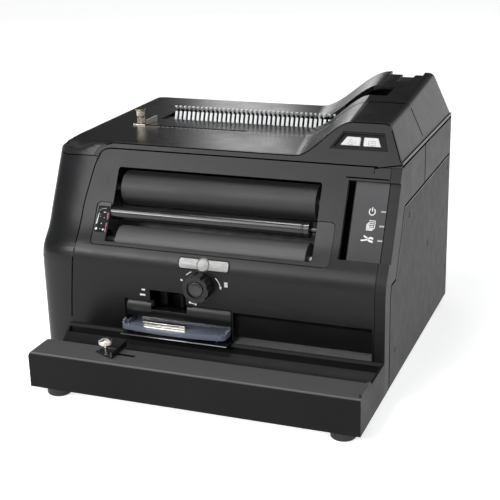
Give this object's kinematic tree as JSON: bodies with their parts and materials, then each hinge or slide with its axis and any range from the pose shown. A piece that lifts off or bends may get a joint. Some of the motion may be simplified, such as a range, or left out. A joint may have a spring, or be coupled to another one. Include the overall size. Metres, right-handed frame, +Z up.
{
  "type": "coil binding machine",
  "caption": "Black office coil binding machine with two rubber rollers behind a window, a crimper with a scrap tray, a comb on its top and a tower with two buttons.",
  "frame": {"origin": "on the counter, under the middle of the machine's bounding box", "axes": "+X to the machine's right as its user sees it, +Y to its back, +Z up"},
  "size_m": [0.442, 0.437, 0.3174],
  "materials": {
    "housing": "satin",
    "trim": "satin",
    "rubber": "matte",
    "bar": "gloss",
    "panel_film": "satin",
    "nickel": "polished",
    "steel": "brushed",
    "dark_steel": "satin",
    "zinc_sheet": "satin",
    "bronze": "satin",
    "pale_key": "satin",
    "clear": "gloss",
    "fingers": "satin",
    "board": "matte"
  },
  "bodies": {
    "base": {"front_fascia": "housing", "window_guard": "trim", "gauge_plate": "clear", "left_cover": "housing", "upper_front_panel": "housing", "top_front_cover": "housing", "top_rear_cover": "housing", "right_front_frame": "housing", "right_rear_band": "housing", "right_side_panel": "housing", "back_panel": "housing", "base_pan": "zinc_sheet", "front_ledge": "housing", "control_panel": "panel_film", "panel_board": "board", "button_bezel": "trim", "button_board": "board", "left_bearing_plate": "zinc_sheet", "right_bearing_plate": "zinc_sheet", "upper_left_bush": "bronze", "upper_right_bush": "bronze", "lower_left_bush": "bronze", "lower_right_bush": "bronze", "roller_bay_sheet": "dark_steel", "drive_belt": "rubber", "drive_motor": "dark_steel", "chute_cover": "housing", "crimper_block": "dark_steel", "crimper_anvil": "steel", "crimp_motor": "dark_steel", "tray_shelf": "trim", "speed_control": "dark_steel", "comb": "fingers", "power_supply": "zinc_sheet", "control_board": "board", "power_inlet": "trim", "foot_front_left": "rubber", "foot_front_right": "rubber", "foot_rear_left": "rubber", "foot_rear_right": "rubber"},
    "upper_roller": {"upper_roller_sleeve": "rubber", "upper_roller_shaft": "steel", "upper_pulley": "trim"},
    "lower_roller": {"lower_roller_sleeve": "rubber", "lower_roller_shaft": "steel", "lower_pulley": "trim"},
    "bar": {"idler_bar": "bar"},
    "motor_rotor": {"motor_shaft": "steel", "motor_pulley": "trim"},
    "knob": {"speed_knob": "trim", "knob_cap": "trim"},
    "left_key": {"button_left": "pale_key"},
    "right_key": {"button_right": "pale_key"},
    "jaw": {"crimper_jaw": "steel"},
    "tray": {"scrap_tray": "clear", "tray_bar": "nickel"},
    "ledge_stop": {"ledge_stop_blade": "dark_steel"},
    "ledge_screw": {"ledge_stop_screw": "nickel"},
    "top_stop": {"top_stop_blade": "nickel"},
    "top_screw": {"top_stop_screw": "nickel"}
  },
  "joints": [
    {"name": "upper_roller_spin", "type": "hinge", "parent": "base", "child": "upper_roller", "pos_m": [0, -0.0496, 0.211], "axis": [1, 0, 0], "continuous": true},
    {"name": "lower_roller_spin", "type": "hinge", "parent": "base", "child": "lower_roller", "pos_m": [0, -0.082, 0.1515], "axis": [1, 0, 0], "continuous": true},
    {"name": "motor_spin", "type": "hinge", "parent": "base", "child": "motor_rotor", "pos_m": [0.15, 0.012, 0.104], "axis": [1, 0, 0], "continuous": true},
    {"name": "idler_bar_spin", "type": "hinge", "parent": "base", "child": "bar", "pos_m": [0, -0.0775, 0.187], "axis": [1, 0, 0], "continuous": true},
    {"name": "speed_knob_turn", "type": "hinge", "parent": "base", "child": "knob", "pos_m": [0, -0.13, 0.121], "axis": [0, -1, 0], "range_deg": [-135, 135]},
    {"name": "left_button_press", "type": "slide", "parent": "base", "child": "left_key", "axis": [0, 0.8862, -0.4633], "range_m": [0, 0.0012], "stiffness_N_per_m": 300},
    {"name": "right_button_press", "type": "slide", "parent": "base", "child": "right_key", "axis": [0, 0.8862, -0.4633], "range_m": [0, 0.0012], "stiffness_N_per_m": 300},
    {"name": "crimper_jaw_stroke", "type": "slide", "parent": "base", "child": "jaw", "axis": [1, 0, 0], "range_m": [0, 0.009]},
    {"name": "scrap_tray_pull", "type": "slide", "parent": "base", "child": "tray", "axis": [0, -1, 0], "range_m": [0, 0.03]},
    {"name": "ledge_stop_slide", "type": "slide", "parent": "base", "child": "ledge_stop", "axis": [1, 0, 0], "range_m": [-0.009, 0.032]},
    {"name": "ledge_screw_turn", "type": "hinge", "parent": "ledge_stop", "child": "ledge_screw", "pos_m": [-0.0895, -0.1945, 0.06], "axis": [0, 0, 1], "continuous": true},
    {"name": "top_stop_slide", "type": "slide", "parent": "base", "child": "top_stop", "axis": [1, 0, 0], "range_m": [-0.01, 0.13]},
    {"name": "top_screw_turn", "type": "hinge", "parent": "top_stop", "child": "top_screw", "pos_m": [-0.1495, 0.048, 0.27], "axis": [0, 0, 1], "continuous": true}
  ],
  "couplings": [
    {"joint": "lower_roller_spin", "follows": "upper_roller_spin", "ratio": 1.0769},
    {"joint": "motor_spin", "follows": "upper_roller_spin", "ratio": 1.5556}
  ]
}
